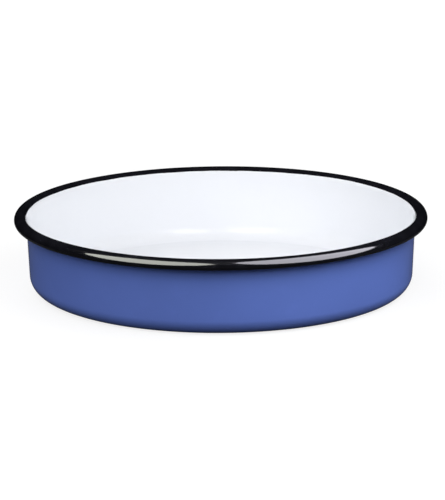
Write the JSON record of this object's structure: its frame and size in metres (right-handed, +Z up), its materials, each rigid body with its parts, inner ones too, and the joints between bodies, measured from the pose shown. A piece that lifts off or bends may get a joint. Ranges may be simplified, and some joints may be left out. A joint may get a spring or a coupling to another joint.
{
  "type": "baking pan",
  "caption": "Round enamelled steel baking pan, one pressed sheet with a steep, slightly flared wall, a rounded corner to a shallow crowned base, and a thick rim rolled outwards.",
  "frame": {"origin": "centre of the base, on the plane that the foot ring stands on", "axes": "+Z up along the pan's axis of revolution, out of its open side; X and Y lie across the pan"},
  "size_m": [0.32, 0.32, 0.06],
  "materials": {
    "enamelled_steel": "gloss vitreous enamel: blue outside, white inside, black round the rolled rim"
  },
  "bodies": {
    "root": {"pan": "enamelled_steel"}
  },
  "joints": []
}
